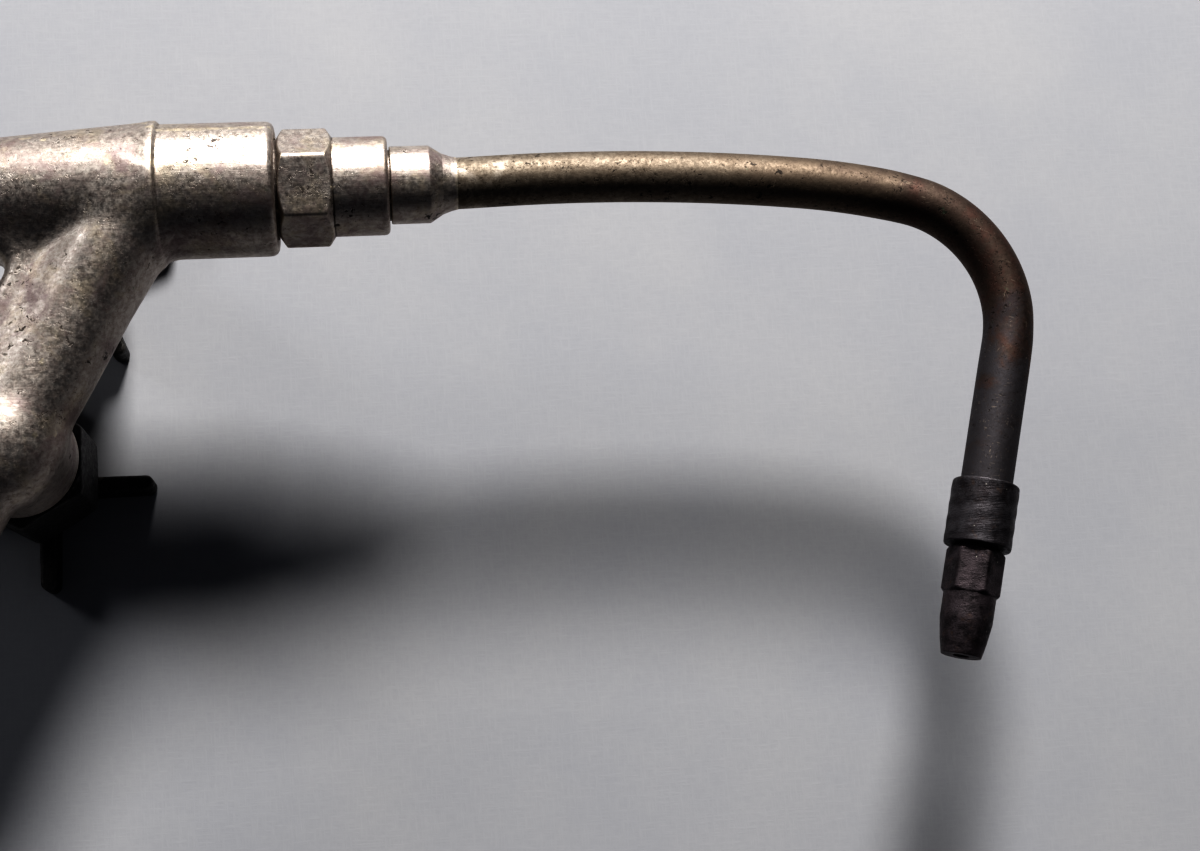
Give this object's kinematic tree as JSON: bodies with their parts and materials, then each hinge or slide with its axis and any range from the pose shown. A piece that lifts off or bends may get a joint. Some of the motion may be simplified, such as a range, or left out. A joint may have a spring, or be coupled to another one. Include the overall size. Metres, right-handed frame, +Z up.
{
  "type": "hand torch burner nozzle",
  "caption": "Hand torch burner: forged Y body with needle valves and hose tails, swan neck tube and a screwed burner tip.",
  "frame": {"origin": "middle of the underside of the bounding box, on the surface that the two cross handles stand on", "axes": "+X along the barrel towards the swan neck, -Y the way the burner tip and the branch point, +Z up, away from the handles"},
  "size_m": [0.2738, 0.133, 0.0621],
  "materials": {
    "aged_nickel": "nickel plate over forged brass, warm grey, pitted and rubbed",
    "bare_brass": "machined brass, dull",
    "heated_nickel": "nickelled brass tube, heat tinted towards the bend",
    "sooted_steel": "fire-blackened steel",
    "black_iron": "blackened iron",
    "plain_steel": "turned steel, dull",
    "red_fibre": "vulcanised fibre",
    "graphite_cord": "graphited packing cord"
  },
  "bodies": {
    "body": {"y_body": "aged_nickel", "main_inlet_spigot": "aged_nickel", "main_hose_nipple": "aged_nickel", "branch_inlet_spigot": "aged_nickel", "branch_hose_nipple": "aged_nickel", "mixer_jet": "bare_brass", "main_gland_nut": "bare_brass", "branch_gland_nut": "bare_brass", "main_bonnet": "black_iron", "branch_bonnet": "black_iron", "mixer_washer": "red_fibre", "neck_washer": "red_fibre", "main_bonnet_washer": "red_fibre", "branch_bonnet_washer": "red_fibre", "main_spigot_washer": "red_fibre", "branch_spigot_washer": "red_fibre", "main_packing": "graphite_cord", "branch_packing": "graphite_cord"},
    "main_stem": {"main_stem": "plain_steel"},
    "main_handle": {"main_handle": "black_iron", "main_handle_screw": "plain_steel"},
    "branch_stem": {"branch_stem": "plain_steel"},
    "branch_handle": {"branch_handle": "black_iron", "branch_handle_screw": "plain_steel"},
    "coupling_nut": {"coupling_nut": "aged_nickel"},
    "neck": {"neck_socket": "aged_nickel", "neck_tube": "heated_nickel", "tip_collar": "sooted_steel", "burner_tip": "sooted_steel"},
    "main_union_nut": {"main_union_nut": "aged_nickel"},
    "branch_union_nut": {"branch_union_nut": "aged_nickel"}
  },
  "joints": [
    {"name": "main_stem_travel", "type": "slide", "parent": "body", "child": "main_stem", "axis": [0, 0, -1], "range_m": [0, 0.00201]},
    {"name": "main_handle_turn", "type": "hinge", "parent": "main_stem", "child": "main_handle", "pos_m": [-0.04582, 0.04742, 0.005], "axis": [0, 0, -1], "range_deg": [0, 720]},
    {"name": "branch_stem_travel", "type": "slide", "parent": "body", "child": "branch_stem", "axis": [0, 0, -1], "range_m": [0, 0.00201]},
    {"name": "branch_handle_turn", "type": "hinge", "parent": "branch_stem", "child": "branch_handle", "pos_m": [-0.05252, 0.00187, 0.005], "axis": [0, 0, -1], "range_deg": [0, 720]},
    {"name": "coupling_nut_turn", "type": "hinge", "parent": "body", "child": "coupling_nut", "pos_m": [0, 0.04742, 0.0494], "axis": [1, 0, 0], "range_deg": [0, 90]},
    {"name": "neck_swivel", "type": "hinge", "parent": "body", "child": "neck", "pos_m": [0, 0.04742, 0.0494], "axis": [1, 0, 0], "range_deg": [-180, 180]},
    {"name": "main_union_turn", "type": "hinge", "parent": "body", "child": "main_union_nut", "pos_m": [-0.1, 0.04742, 0.0494], "axis": [-1, 0, 0], "range_deg": [0, 360]},
    {"name": "branch_union_turn", "type": "hinge", "parent": "body", "child": "branch_union_nut", "pos_m": [-0.05252, 0.00187, 0.0494], "axis": [-0.5, -0.866, 0], "range_deg": [0, 360]}
  ],
  "couplings": [
    {"joint": "main_stem_travel", "follows": "main_handle_turn", "m_per_rad": 0.00015915},
    {"joint": "branch_stem_travel", "follows": "branch_handle_turn", "m_per_rad": 0.00015915}
  ]
}
